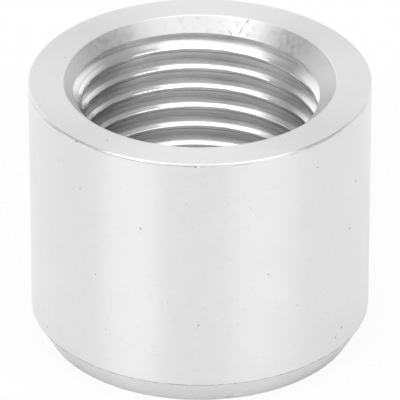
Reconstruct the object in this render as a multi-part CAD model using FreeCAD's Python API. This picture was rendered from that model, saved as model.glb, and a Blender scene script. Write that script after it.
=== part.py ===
import FreeCAD, Part
import math
import os

# Weld bung: a turned ring with a threaded bore, let into a wall and welded round its bevelled lower end.
# Millimetres, +Z up along the bore. The origin is the centre of the flat lower end.

# Threaded bore: straight thread, one start, right hand
minor_diameter = 19.2
threads_per_inch = 14.0
thread_angle = 60.0
crest_flat = 0.30
thread_start_angle = 245.0

# Body: the wall is measured from the thread's crests
wall_thickness = 4.3
height = 22.6
top_edge_bevel = 0.22
weld_bevel_height = 2.15
weld_bevel_angle = 30.0

# Mouths of the bore: the clearance is outside the thread's root, and the angle is that of the whole cone
mouth_clearance = 0.164
mouth_angle = 90.0

# Sizes that follow from those above
inch = 25.4
minor_radius = minor_diameter / 2.0
outer_radius = minor_radius + wall_thickness
pitch = inch / threads_per_inch
flank_slope = math.tan(math.radians(thread_angle / 2.0))
thread_depth = (pitch - crest_flat) / (2.0 * flank_slope)
major_radius = minor_radius + thread_depth
bevel_width = weld_bevel_height * math.tan(math.radians(weld_bevel_angle))
mouth_radius = major_radius + mouth_clearance
mouth_depth = (mouth_radius - minor_radius) / math.tan(math.radians(mouth_angle / 2.0))

centre = FreeCAD.Vector(0, 0, 0)
up = FreeCAD.Vector(0, 0, 1)


def at(radius, z):
    return FreeCAD.Vector(radius, 0, z)


def ring_section():
    """Half of the ring cut through its axis, with a plain bore at the thread's minor diameter."""
    return Part.Face(Part.makePolygon([
        at(mouth_radius, height),
        at(minor_radius, height - mouth_depth),
        at(minor_radius, mouth_depth),
        at(mouth_radius, 0),
        at(outer_radius - bevel_width, 0),
        at(outer_radius, weld_bevel_height),
        at(outer_radius, height - top_edge_bevel),
        at(outer_radius - top_edge_bevel, height),
        at(mouth_radius, height),
    ]))


def turned_ring():
    """The ring before it is threaded, in quarters, so each quarter turn of thread crest is a wall of its own."""
    quarters = []
    for angle in (0, 90, 180, 270):
        quarter = ring_section().revolve(centre, up, 90)
        quarter.rotate(centre, up, angle)
        quarters.append(quarter)
    return quarters[0].multiFuse(quarters[1:])


def thread_groove():
    """The helical V groove between the thread's turns, which runs out past both ends of the bore."""
    past_crest = 0.3 * crest_flat / flank_slope
    inner_radius = minor_radius - past_crest
    mouth_half = (thread_depth + past_crest) * flank_slope
    outline = Part.makePolygon([
        at(inner_radius, -mouth_half),
        at(major_radius, 0),
        at(inner_radius, mouth_half),
        at(inner_radius, -mouth_half),
    ])
    turns = math.ceil(height / pitch) + 2
    helix = Part.makeLongHelix(pitch, turns * pitch, major_radius, 0)
    sweep = Part.BRepOffsetAPI.MakePipeShell(Part.Wire(helix.Edges))
    sweep.setBiNormalMode(up)
    sweep.add(outline, False, False)
    sweep.build()
    sweep.makeSolid()
    groove = sweep.shape()
    groove.translate(FreeCAD.Vector(0, 0, -pitch))
    groove.rotate(centre, up, thread_start_angle)
    return groove


def weld_bung():
    return turned_ring().cut(thread_groove())


os.makedirs("parts", exist_ok=True)
weld_bung().exportStep("parts/weld_bung.step")
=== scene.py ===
import math

import bmesh
import bpy
import numpy as np
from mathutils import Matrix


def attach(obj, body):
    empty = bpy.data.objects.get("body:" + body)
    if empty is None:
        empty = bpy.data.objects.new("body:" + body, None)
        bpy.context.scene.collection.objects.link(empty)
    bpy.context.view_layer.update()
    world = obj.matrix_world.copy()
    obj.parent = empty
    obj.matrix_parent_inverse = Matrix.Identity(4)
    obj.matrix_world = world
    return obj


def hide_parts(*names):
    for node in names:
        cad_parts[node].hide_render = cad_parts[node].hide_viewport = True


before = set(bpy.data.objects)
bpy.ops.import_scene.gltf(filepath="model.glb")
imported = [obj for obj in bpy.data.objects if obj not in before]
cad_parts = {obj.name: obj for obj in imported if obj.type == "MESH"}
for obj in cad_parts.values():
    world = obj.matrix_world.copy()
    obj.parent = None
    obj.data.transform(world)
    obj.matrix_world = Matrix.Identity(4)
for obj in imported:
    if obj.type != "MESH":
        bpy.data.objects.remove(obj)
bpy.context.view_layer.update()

# Weld bung: one turned ring, rebuilt as a fine mesh with rounded edges, a cut thread and a turned-metal finish.
# The sizes are in millimetres, as in the solid; the mesh is made in metres.
MM = 0.001
TURN = 2.0 * math.pi

# Body
outer_radius = 13.9
height = 22.6
bevel_height = 2.15
bevel_angle = 30.0

# Thread: the groove's centre is at height 0 at the start angle
minor_radius = 9.6
pitch = 25.4 / 14.0
crest_flat = 0.30
flank_slope = math.tan(math.radians(30.0))
major_radius = minor_radius + (pitch - crest_flat) / (2.0 * flank_slope)
thread_start = math.radians(245.0)

# Groove's section: depths of the knee and the root, and slopes of the outer lower, inner lower and upper flank
knee_depth = 0.28
root_depth = 0.98
outer_flank, inner_flank, upper_flank = (math.tan(math.radians(a)) for a in (39.0, 33.5, 32.5))

# The uppermost turn has a deeper knee: its depth, and the heights between which the section changes
open_knee_depth = 0.70
open_turn_from, open_turn_to = 19.4, 20.0

# Mouths of the bore, both cones of 45 degrees to the axis, a little wider than the thread
mouth_margin = 0.164
mouth_radius = major_radius + mouth_margin

# Small roundings. The rim has a narrow tilted facet below its rounding.
crest_rounding = 0.085
crest_edge = 0.03
rim_rounding = 0.10
facet_length = 0.06
facet_tilt = 22.0
mouth_rounding = 0.14
mouth_reach = mouth_rounding * math.tan(math.radians(22.5))
foot_rounding = 0.12

# Curves of a crest, above the lower flank and at the upper flank, as parts of their rounding: up and outwards
crest_curve = [(-0.8, 0.0), (-0.25, 0.08), (0.32, 0.42)]
crest_edge_curve = [(-0.15, 0.25), (0.8, 0.0)]

# Mesh: columns round the axis, and rows along the rim, the wall and the lower face
columns = 300
rim_rows = 8
wall_rows = 14
face_rows = 4
sharp_angle = math.radians(12.0)
weld_distance = 2e-8
WALL, RIM, THREAD, COUNTERSINK = range(4)


def arc(centre, radius, start, end, count):
    """Points (r, z) of an arc in the section, with the angles in degrees from the outward radius."""
    angles = np.radians(np.linspace(start, end, count))
    return [(centre[0] + radius * math.cos(a), centre[1] + radius * math.sin(a)) for a in angles]


def between(start, end, share):
    return tuple(a + share * (b - a) for a, b in zip(start, end))


def curve(z, rounding, shape):
    """Points (z, r) of a crest's curve from the corner of the crest at height z."""
    return [(z + up * rounding, minor_radius + out * rounding) for up, out in shape]


def thread_pitch(depth):
    """One pitch of the thread's section with the knee at a depth, as (height above the groove's centre, radius)."""
    corner = 0.5 * (pitch - crest_flat)
    edge = (-corner + crest_rounding * outer_flank, minor_radius + crest_rounding)
    knee = (-corner + depth * outer_flank, minor_radius + depth)
    root = (knee[0] + (root_depth - depth) * inner_flank, minor_radius + root_depth)
    ceiling = (corner - root_depth * upper_flank, minor_radius + root_depth)
    top_edge = (corner - crest_edge * upper_flank, minor_radius + crest_edge)
    points = [(-0.5 * pitch, minor_radius)] + curve(-corner, crest_rounding, crest_curve) + [edge]
    points += [between(edge, knee, share) for share in (0.5, 0.9)] + [knee]
    points += [between(knee, root, share) for share in (0.1, 0.5, 0.9)] + [root]
    points += [ceiling] + [between(ceiling, top_edge, share) for share in (0.1, 0.9)] + [top_edge]
    return points + curve(corner, crest_edge, crest_edge_curve)


def bore_wall():
    """The bore at every column, upwards: radius, height and whether the point is on a mouth's cone."""
    section = np.array(thread_pitch(knee_depth))
    open_section = np.array(thread_pitch(open_knee_depth))
    turns = np.arange(-2, math.ceil(height / pitch) + 2)
    angle = np.linspace(0.0, TURN, columns + 1)
    centre = pitch * (turns[None, :] + ((angle - thread_start) / TURN)[:, None])
    share = np.clip((centre - open_turn_from) / (open_turn_to - open_turn_from), 0.0, 1.0)[:, :, None]
    z = centre[:, :, None] + section[:, 0] + share * (open_section[:, 0] - section[:, 0])
    r = section[:, 1] + share * (open_section[:, 1] - section[:, 1])
    z = z.reshape(columns + 1, -1)
    r = r.reshape(columns + 1, -1)

    # Points inside a mouth go out to its cone, and the first of them to where the thread meets the cone
    cone = np.maximum(mouth_radius - height + z, mouth_radius - z)
    above_cone = r - cone
    cut = above_cone < 0.0
    wall_r = np.where(cut, cone, r)
    wall_z = z.copy()
    for side in (-1, 1):
        kept = np.roll(~cut, side, axis=1)
        other = np.roll(~cut, -side, axis=1)
        here = cut & kept & ~other
        before = np.roll(above_cone, side, axis=1)
        share = before / np.where(here, before - above_cone, 1.0)
        from_r = np.roll(r, side, axis=1)
        from_z = np.roll(z, side, axis=1)
        wall_r = np.where(here, from_r + share * (r - from_r), wall_r)
        wall_z = np.where(here, from_z + share * (z - from_z), wall_z)

    # Points past a mouth's rounding gather at its edge
    edge = mouth_reach * math.sqrt(0.5)
    past_end = (wall_z > height - edge) | (wall_z < edge)
    wall_z = np.clip(wall_z, edge, height - edge)
    wall_r = np.where(past_end, mouth_radius - edge, wall_r)
    return wall_r, wall_z, cut


def outside():
    """Sections of the rim and of the rest, from the bore's upper edge round to its lower edge."""
    inner = mouth_radius + mouth_reach
    rim = arc((inner, height - mouth_rounding), mouth_rounding, 135, 90, 6)
    tilt = math.radians(facet_tilt)
    top = height - rim_rounding * (1.0 - math.sin(tilt))
    facet = (outer_radius - facet_length * math.sin(tilt), top)
    centre = (facet[0] - rim_rounding * math.cos(tilt), height - rim_rounding)
    rim += [(r, height) for r in np.linspace(inner, centre[0], rim_rows)[1:-1]]
    edge = arc(centre, rim_rounding, 90, facet_tilt, 9)
    edge.append((outer_radius, top - facet_length * math.cos(tilt)))
    turn = foot_rounding * math.tan(math.radians(bevel_angle / 2.0))
    wall = [(outer_radius, z) for z in np.linspace(edge[-1][1], bevel_height + turn, wall_rows)[1:-1]]
    wall += arc((outer_radius - foot_rounding, bevel_height + turn), foot_rounding, 0, -bevel_angle, 4)
    foot_radius = outer_radius - bevel_height * math.tan(math.radians(bevel_angle))
    back = foot_rounding * math.tan(math.radians((90.0 - bevel_angle) / 2.0))
    foot = arc((foot_radius - back, foot_rounding), foot_rounding, -bevel_angle, -90, 7)
    foot += [(r, 0.0) for r in np.linspace(foot_radius - back, inner, face_rows)[1:-1]]
    foot += arc((inner, mouth_rounding), mouth_rounding, -90, -135, 6)
    return rim, edge + wall + foot


def bung_mesh():
    """Quads between neighbouring columns and rows, each with its finish."""
    rim, rest = outside()
    ring = np.array(rim + rest)
    angle = np.linspace(0.0, TURN, columns + 1)
    bore_r, bore_z, cone = bore_wall()
    r = np.concatenate([bore_r, np.tile(ring[:, 0], (columns + 1, 1))], axis=1)
    z = np.concatenate([bore_z, np.tile(ring[:, 1], (columns + 1, 1))], axis=1)
    x = r * np.cos(angle)[:, None]
    y = r * np.sin(angle)[:, None]
    points = np.stack([x, y, z], axis=-1).reshape(-1, 3) * MM
    rows = r.shape[1]
    corner = (np.arange(columns)[:, None] * rows + np.arange(rows - 1)[None, :]).ravel()
    faces = np.stack([corner, corner + 1, corner + rows + 1, corner + rows], axis=-1)
    bore_rows = bore_r.shape[1]
    part = np.full((columns, rows - 1), WALL)
    part[:, bore_rows:bore_rows + len(rim)] = RIM
    on_cone = cone[:-1, :-1] & cone[1:, :-1] & cone[:-1, 1:] & cone[1:, 1:]
    part[:, :bore_rows - 1] = np.where(on_cone, COUNTERSINK, THREAD)
    part[:, bore_rows - 1] = COUNTERSINK
    bung_body = bpy.data.meshes.new("bung_body")
    bung_body.from_pydata(points.tolist(), [], faces.tolist())
    bung_body.polygons.foreach_set("material_index", part.ravel())
    return bung_body


def weld(body):
    """Joins the points that fall together, and turns the faces outwards."""
    work = bmesh.new()
    work.from_mesh(body)
    bmesh.ops.remove_doubles(work, verts=work.verts, dist=weld_distance)
    bmesh.ops.dissolve_degenerate(work, edges=work.edges, dist=weld_distance)
    bmesh.ops.recalc_face_normals(work, faces=work.faces)
    work.to_mesh(body)
    work.free()


class Graph:
    """Short names for building a node tree. A value is a number, a tuple or another node's output."""

    def __init__(self, tree):
        self.tree = tree

    def put(self, socket, value):
        if isinstance(value, bpy.types.NodeSocket):
            self.tree.links.new(value, socket)
        else:
            socket.default_value = value

    def add(self, kind, values=(), **settings):
        node = self.tree.nodes.new("ShaderNode" + kind)
        for key, value in settings.items():
            setattr(node, key, value)
        for socket, value in dict(values).items():
            self.put(node.inputs[socket], value)
        return node

    def math(self, operation, *values):
        return self.add("Math", enumerate(values), operation=operation).outputs[0]

    def vector(self, operation, *values):
        return self.add("VectorMath", enumerate(values), operation=operation).outputs[0]

    def length(self, value):
        return self.add("VectorMath", {0: value}, operation="LENGTH").outputs["Value"]

    def scaled(self, value, scale):
        return self.add("VectorMath", {0: value, "Scale": scale}, operation="SCALE").outputs[0]

    def step(self, value, start, end, low=0.0, high=1.0):
        """Smooth step from low to high as the value goes from start to end."""
        values = {"Value": value, "From Min": start, "From Max": end, "To Min": low, "To Max": high}
        return self.add("MapRange", values, interpolation_type="SMOOTHSTEP").outputs["Result"]

    def window(self, value, start, end, soft):
        """One between start and end and zero outside, with soft edges."""
        inside = self.step(value, start - soft / 2.0, start + soft / 2.0)
        return self.math("MULTIPLY", inside, self.step(value, end - soft / 2.0, end + soft / 2.0, 1.0, 0.0))

    def noise(self, place, scale, octaves):
        return self.add("TexNoise", {"Vector": place, "Scale": scale, "Detail": octaves}).outputs[0]


# Finish of all faces: tool lines, broad and fine variation, smudges and pits
line_density = 9.0
line_octaves = 3.0
line_tone = 0.03
line_roughness = 0.08
broad_scale = 0.35
broad_octaves = 3.0
broad_tone = 0.04
fine_scale = 2.2
fine_octaves = 2.0
smudge_edge = (0.58, 0.72)
smudge_tone = 0.035
pit_density = 0.42
pit_share = 0.30
pit_edge = (0.02, 0.05)
dent_tone = 0.42
dent_depth = 0.02
mark_reach = 0.3
quarter_turn = 0.25

# Finish of the thread: wider tool lines with dark ones among them, smooth outer flanks as far as the knee, a painted
# highlight that makes the crests paler, and a band of painted shade under each crest. Edges are in millimetres from the
# knee, the crest or its corner.
thread_line_share = 0.62
dark_line_edge = (0.38, 0.47)
dark_line_tone = 0.17
knee_edge = (-0.03, 0.05)
outer_smoothness = 0.14
crest_reach = (0.01, 0.04)
crest_roughness = 0.08
# Painted highlight: how much paler the crests are made
crest_painted_highlight = 0.08
# Painted shade under each crest: heights of the band about the crest's corner, its softness, its reach from the crest
# and how dark it is
ledge_heights = (-0.04, 0.06)
ledge_softness = 0.03
ledge_reach = (0.04, 0.07)
under_crest_painted_shade = 0.62

# Broken dark lines at the wall's ends: changes on the way round, octaves, edge of the gaps, darkness and heights
burr_lines = [
    (26.0, 4.0, (0.34, 0.62), (0.16, 0.52), (bevel_height - 0.03, bevel_height + 0.05)),
    (5.0, 2.0, (0.42, 0.56), (0.0, 0.30), (height - 0.22, height - 0.13)),
]
burr_softness = 0.05

# Weld bevel: painted shade, darker than the wall, and more so at its foot, where the floor near the contact is shaded
bevel_edge = (bevel_height - 0.1, bevel_height)
bevel_painted_shade = 0.05
foot_edge = (0.05, 0.45)
foot_painted_shade = 0.07

# Marks of handling: azimuth, radius, height, half length and half width, tilt, strength
wall_marks = [
    (-19.9, 13.9, 16.32, (0.10, 0.10), 0.0, 1.0),
    (-37.1, 13.9, 10.88, (0.08, 0.10), 0.0, 0.9),
    (23.2, 13.9, 11.89, (0.08, 0.10), 0.0, 1.0),
    (42.2, 13.9, 20.31, (0.12, 0.08), 0.0, 0.9),
    (64.1, 13.9, 16.69, (0.16, 0.12), 20.0, 0.8),
    (60.2, 13.9, 12.72, (0.14, 0.12), 0.0, 0.9),
    (-10.8, 13.9, 9.81, (0.08, 0.08), 0.0, 0.6),
    (-33.2, 13.9, 6.05, (0.09, 0.09), 0.0, 0.7),
    (55.8, 13.9, 3.92, (0.18, 0.14), 50.0, 0.8),
    (52.3, 13.9, 3.38, (0.22, 0.08), 60.0, 0.8),
    (34.3, 13.9, 8.22, (0.08, 0.12), 0.0, 0.6),
    (-4.6, 13.9, 18.95, (0.30, 0.06), -40.0, 0.3),
    (-3.2, 13.9, 18.70, (0.20, 0.06), 35.0, 0.3),
    (16.8, 13.9, 18.30, (0.28, 0.07), 55.0, 0.3),
    (-51.6, 13.9, 20.01, (0.35, 0.06), 50.0, 0.3),
    (-1.5, 13.85, 22.42, (0.10, 0.14), 0.0, 1.0),
    (-44.9, 13.85, 22.45, (0.24, 0.12), 0.0, 0.8),
    (-49.7, 12.98, 0.56, (0.12, 0.12), 0.0, 1.0),
    (10.6, 12.80, 0.30, (0.55, 0.16), 0.0, 0.35),
]
# Painted highlights: spots made lighter where two nicks catch the light, at the wall's upper edge and on the bevel
wall_painted_glints = [
    (-0.4, 13.85, 22.44, (0.14, 0.12), 0.0, 0.30),
    (13.6, 12.85, 0.42, (0.42, 0.14), 0.0, 0.30),
]
rim_marks = [
    (-108.8, 11.65, 22.6, (0.14, 0.07), 20.0, 0.7),
    (-52.0, 12.40, 22.6, (0.35, 0.03), 70.0, 0.3),
    (35.0, 12.90, 22.6, (0.30, 0.03), -50.0, 0.3),
]
cone_marks = [
    (159.1, 11.0, 22.45, (0.55, 0.06), 55.0, 0.9),
    (161.0, 10.3, 21.80, (0.65, 0.06), 70.0, 0.8),
    (165.5, 10.1, 21.58, (0.50, 0.06), -40.0, 0.6),
]

# The four finishes, in the order of WALL, RIM, THREAD and COUNTERSINK
finishes = [
    {"name": "turned_wall", "along": "height", "roughness": 0.34, "spread": 0.92, "tone": 0.912, "mottle": 0.02,
     "line_height": 0.002, "line_reach": 4.0, "marks": wall_marks, "painted_glints": wall_painted_glints},
    {"name": "faced_rim", "along": "radius", "roughness": 0.35, "spread": 0.80, "tone": 0.875, "mottle": 0.04,
     "line_height": 0.002, "line_reach": 4.0, "marks": rim_marks, "lying": True},
    {"name": "cut_thread", "along": "thread", "roughness": 0.25, "spread": 0.85, "tone": 0.97, "mottle": 0.02,
     "line_height": 0.014, "line_reach": 0.8},
    {"name": "countersink", "along": "radius", "roughness": 0.46, "spread": 0.50, "tone": 0.73, "mottle": 0.14,
     "line_height": 0.002, "line_reach": 3.0, "marks": cone_marks, "patchy": 0.5},
]


def shifted(start, reach):
    return tuple(start + part for part in reach)


def mark(graph, place, lying, azimuth, radius, z, size, tilt):
    """One inside a small dent or scratch, falling to zero at its edge. Azimuth 0 is the front, and grows rightwards."""
    around = math.radians(azimuth)
    if lying:
        rotation = (0.0, 0.0, math.radians(azimuth + tilt))
        scale = (size[0], size[1], mark_reach)
    else:
        rotation = (0.0, math.radians(tilt), around)
        scale = (size[0], mark_reach, size[1])
    location = (radius * math.sin(around), -radius * math.cos(around), z)
    values = {"Vector": place, "Location": location, "Rotation": rotation, "Scale": scale}
    local = graph.add("Mapping", values, vector_type="TEXTURE").outputs[0]
    return graph.step(graph.length(local), 0.5, 1.0, 1.0, 0.0)


def pits(graph, place):
    """One inside the pits, which sit in some of the cells of a random pattern."""
    cells = graph.add("TexVoronoi", {"Vector": place, "Scale": pit_density}).outputs
    chance = graph.add("SeparateColor", {0: cells["Color"]}).outputs[0]
    chosen = graph.math("GREATER_THAN", chance, 1.0 - pit_share)
    return graph.math("MULTIPLY", graph.step(cells["Distance"], *pit_edge, 1.0, 0.0), chosen)


def thread_zones(graph, radius, groove, lines, level, rough):
    """Tone and roughness of the thread's flanks and crests, with a painted highlight on the crests and painted shade
    under them.
    """
    knee = shifted(minor_radius + knee_depth, knee_edge)
    rough = graph.math("ADD", rough, graph.step(radius, *knee, -outer_smoothness, 0.0))
    crest = graph.step(radius, *shifted(minor_radius, crest_reach), 1.0, 0.0)
    rough = graph.math("MULTIPLY_ADD", crest, crest_roughness, rough)
    # Painted highlight: the crests are made paler
    level = graph.math("MULTIPLY_ADD", crest, crest_painted_highlight, level)
    level = graph.math("ADD", level, graph.step(lines, *dark_line_edge, -dark_line_tone, 0.0))
    # Painted shade: a dark band on the flank just under each crest
    corner = shifted(0.5 * (pitch - crest_flat), ledge_heights)
    under_crest_shade = graph.window(graph.math("WRAP", groove, 0.5 * pitch, -0.5 * pitch), *corner, ledge_softness)
    below_crest = graph.step(radius, *shifted(minor_radius, ledge_reach), 1.0, 0.0)
    under_crest_shade = graph.math("MULTIPLY", under_crest_shade, below_crest)
    return graph.math("MULTIPLY_ADD", under_crest_shade, -under_crest_painted_shade, level), rough


def wall_ends(graph, heading, z, level):
    """Tone of the wall with the broken lines at its ends, and painted shade on the weld bevel and at its foot."""
    for changes, octaves, gaps, darkness, heights in burr_lines:
        broken = graph.step(graph.noise(graph.scaled(heading, changes), 1.0, octaves), *gaps, *darkness)
        burr = graph.math("MULTIPLY", graph.window(z, *heights, burr_softness), broken)
        level = graph.math("SUBTRACT", level, burr)
    # Painted shade: darker over the bevel, and more so near the foot
    level = graph.math("SUBTRACT", level, graph.step(z, *bevel_edge, bevel_painted_shade, 0.0))
    return graph.math("SUBTRACT", level, graph.step(z, *foot_edge, foot_painted_shade, 0.0))


def metal(name, along, roughness, spread, tone, mottle, line_height, line_reach,
          marks=(), painted_glints=(), lying=False, patchy=0.0):
    """Turned metal. The tool's lines run round the axis, side by side along the height, the radius or the thread.

    Spread is how far the lines draw a highlight across them, line_reach how often they change on the way round,
    and patchy how much the roughness varies. Lying is for marks on a level face.
    """
    material = bpy.data.materials.new(name)
    material.use_nodes = True
    graph = Graph(material.node_tree)
    shader = graph.tree.nodes["Principled BSDF"]
    place = graph.scaled(graph.add("TexCoord").outputs["Object"], 1.0 / MM)
    flat = graph.vector("MULTIPLY", place, (1.0, 1.0, 0.0))
    radius = graph.length(flat)
    heading = graph.vector("NORMALIZE", flat)
    x, y, z = graph.add("SeparateXYZ", {0: place}).outputs
    if along == "thread":
        turn = graph.math("ARCTAN2", y, x)
        groove = graph.math("MULTIPLY_ADD", turn, -pitch / TURN, z)
        groove = graph.math("ADD", groove, pitch * thread_start / TURN)
        across = graph.math("MULTIPLY", graph.math("PINGPONG", groove, 0.5 * pitch), thread_line_share)
    else:
        across = z if along == "height" else radius
    lift = graph.add("CombineXYZ", {2: graph.math("MULTIPLY", across, line_density)}).outputs[0]
    lines = graph.noise(graph.vector("ADD", graph.scaled(heading, line_reach), lift), 1.0, line_octaves)
    broad = graph.noise(place, broad_scale, broad_octaves)
    fine = graph.noise(place, fine_scale, fine_octaves)

    # Tone: fine lines, broad variation, mottling, pits, marks and smudges
    level = graph.math("MULTIPLY_ADD", lines, line_tone, tone - 0.5 * (line_tone + broad_tone + mottle))
    level = graph.math("MULTIPLY_ADD", broad, broad_tone, level)
    level = graph.math("MULTIPLY_ADD", fine, mottle, level)
    dent = pits(graph, place)
    for *spot, strength in marks:
        shape = graph.math("MULTIPLY", mark(graph, place, lying, *spot), strength)
        dent = graph.math("MAXIMUM", dent, shape)
    level = graph.math("MULTIPLY_ADD", dent, -dent_tone, level)
    level = graph.math("SUBTRACT", level, graph.step(fine, *smudge_edge, 0.0, smudge_tone))
    # Painted highlights: spots made lighter where nicks catch the light
    for *spot, strength in painted_glints:
        level = graph.math("MULTIPLY_ADD", mark(graph, place, lying, *spot), strength, level)
    rough = graph.math("MULTIPLY_ADD", lines, line_roughness, roughness - 0.5 * line_roughness - 0.5 * patchy)
    if patchy:
        rough = graph.math("MULTIPLY_ADD", fine, patchy, rough)
    if along == "thread":
        level, rough = thread_zones(graph, radius, groove, lines, level, rough)
    if along == "height":
        level = wall_ends(graph, heading, z, level)

    graph.put(shader.inputs["Base Color"], graph.add("CombineColor", {0: level, 1: level, 2: level}).outputs[0])
    graph.put(shader.inputs["Roughness"], rough)
    shader.inputs["Metallic"].default_value = 1.0
    shader.inputs["Anisotropic"].default_value = spread
    shader.inputs["Anisotropic Rotation"].default_value = quarter_turn
    graph.put(shader.inputs["Tangent"], graph.add("Tangent", direction_type="RADIAL", axis="Z").outputs[0])
    relief = graph.math("MULTIPLY", lines, line_height)
    relief = graph.math("MULTIPLY_ADD", dent, -dent_depth, relief)
    bump = graph.add("Bump", {"Height": relief, "Distance": MM, "Strength": 1.0})
    graph.put(shader.inputs["Normal"], bump.outputs[0])
    return material


mesh = bung_mesh()
for finish in finishes:
    mesh.materials.append(metal(**finish))
weld(mesh)
mesh.shade_smooth()
mesh.set_sharp_from_angle(angle=sharp_angle)
bung = bpy.data.objects.new("bung_body", mesh)
bpy.context.scene.collection.objects.link(bung)
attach(bung, "root")
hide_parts("weld_bung")

# Camera: long lens, 30 degrees above the horizon
camera_distance = 478.92
camera_elevation = 0.5244
aim_height = 11.37
camera_data = bpy.data.cameras.new("camera")
camera_data.sensor_width = 36.0
camera_data.lens = 527.03
camera_data.clip_start = 0.01
camera = bpy.data.objects.new("camera", camera_data)
camera.location = (0.0, -camera_distance * math.cos(camera_elevation) * MM,
                   (aim_height + camera_distance * math.sin(camera_elevation)) * MM)
camera.rotation_euler = (math.pi / 2.0 - camera_elevation, 0.0, 0.0)
bpy.context.scene.collection.objects.link(camera)
bpy.context.scene.camera = camera

# Floor: pale card that looks white to the camera and keeps a faint shadow. Its half width is in metres.
half = 1.5
card_colour = (0.9, 0.9, 0.9, 1.0)
white_share = 0.9
floor_mesh = bpy.data.meshes.new("floor")
floor_mesh.from_pydata([(-half, -half, 0), (half, -half, 0), (half, half, 0), (-half, half, 0)], [], [(0, 1, 2, 3)])
floor = bpy.data.objects.new("floor", floor_mesh)
bpy.context.scene.collection.objects.link(floor)
floor_material = bpy.data.materials.new("floor")
floor_material.use_nodes = True
floor_graph = Graph(floor_material.node_tree)
card = floor_graph.tree.nodes["Principled BSDF"]
card.inputs["Base Color"].default_value = card_colour
card.inputs["Roughness"].default_value = 0.8
card.inputs["Specular IOR Level"].default_value = 0.2
white = floor_graph.add("Emission", {"Color": (1.0, 1.0, 1.0, 1.0), "Strength": 1.0})
seen = floor_graph.math("MULTIPLY", floor_graph.add("LightPath").outputs["Is Camera Ray"], white_share)
floor_mix = floor_graph.add("MixShader", {0: seen, 1: card.outputs[0], 2: white.outputs[0]})
floor_graph.put(floor_graph.tree.nodes["Material Output"].inputs["Surface"], floor_mix.outputs[0])
floor_mesh.materials.append(floor_material)

# Studio: levels where 1 is plain white, and edges in degrees of azimuth, from the front, or of elevation.
# A pale tent is brighter behind and overhead, a little brighter in a band at each side, and dark low in front.
side_level = 0.325
front_level = 0.30
front_edge = (62.0, 84.0)
back_level = 0.85
back_edge = (118.0, 160.0)
band_level = 0.030
band = (72.0, 104.0)
band_softness = 20.0
top_level = 0.50
top_edge = (47.0, 77.0)
dark_share = 0.95
dark_edge = (60.0, 80.0)
dark_top = (8.0, 18.0)

# Panel overhead: its edges to the left, to the right and forwards, as parts of its height, and its lowest elevation
panel_level = 0.58
panel_left = (-0.80, -0.52)
panel_right = (0.43, 0.49)
panel_along = (-0.35, 0.85)
panel_softness = 0.06
panel_low = (10.0, 14.0)

# Soft boxes: azimuth from and to, growing to the right, elevation from and to, brightness
soft_boxes = [
    (-67.0, -27.0, -20.0, 54.0, 2.0),
    (21.0, 67.0, -20.0, 48.0, 1.8),
    (-24.0, 22.0, 26.0, 56.0, 1.0),
    (-155.0, -108.0, 3.0, 36.0, 0.52),
    (112.0, 155.0, 3.0, 34.0, 0.32),
]
box_side_softness = 5.0
box_end_softness = 16.0

world = bpy.data.worlds.new("studio")
world.use_nodes = True
bpy.context.scene.world = world
sky = Graph(world.node_tree)
right, back, up = sky.add("SeparateXYZ", {0: sky.add("TexCoord").outputs["Generated"]}).outputs
front = sky.math("MULTIPLY", back, -1.0)
azimuth = sky.math("DEGREES", sky.math("ARCTAN2", right, front))
elevation = sky.math("DEGREES", sky.math("ARCSINE", up))
aside = sky.math("ABSOLUTE", azimuth)
level = sky.step(aside, *back_edge, side_level, back_level)
level = sky.math("ADD", level, sky.step(aside, *front_edge, front_level - side_level, 0.0))
level = sky.math("MULTIPLY_ADD", sky.window(aside, *band, band_softness), band_level, level)
level = sky.math("ADD", level, sky.step(elevation, *top_edge, 0.0, top_level))
across = sky.math("DIVIDE", right, up)
panel = sky.math("MULTIPLY", sky.step(across, *panel_left), sky.step(across, *panel_right, 1.0, 0.0))
forwards = sky.window(sky.math("DIVIDE", front, up), *panel_along, panel_softness)
panel = sky.math("MULTIPLY", panel, forwards)
panel = sky.math("MULTIPLY", panel, sky.step(elevation, *panel_low))
level = sky.math("MULTIPLY_ADD", panel, panel_level, level)
for left_side, right_side, foot, head, brightness in soft_boxes:
    sides = sky.window(azimuth, left_side, right_side, box_side_softness)
    box = sky.math("MULTIPLY", sides, sky.window(elevation, foot, head, box_end_softness))
    level = sky.math("MULTIPLY_ADD", box, brightness, level)
low_front = sky.math("MULTIPLY", sky.step(elevation, *dark_top, 1.0, 0.0), sky.step(aside, *dark_edge, 1.0, 0.0))
level = sky.math("MULTIPLY", level, sky.math("MULTIPLY_ADD", low_front, -dark_share, 1.0))
background = world.node_tree.nodes["Background"]
background.inputs["Color"].default_value = (1.0, 1.0, 1.0, 1.0)
sky.put(background.inputs["Strength"], level)

bpy.context.scene.view_settings.view_transform = "Standard"
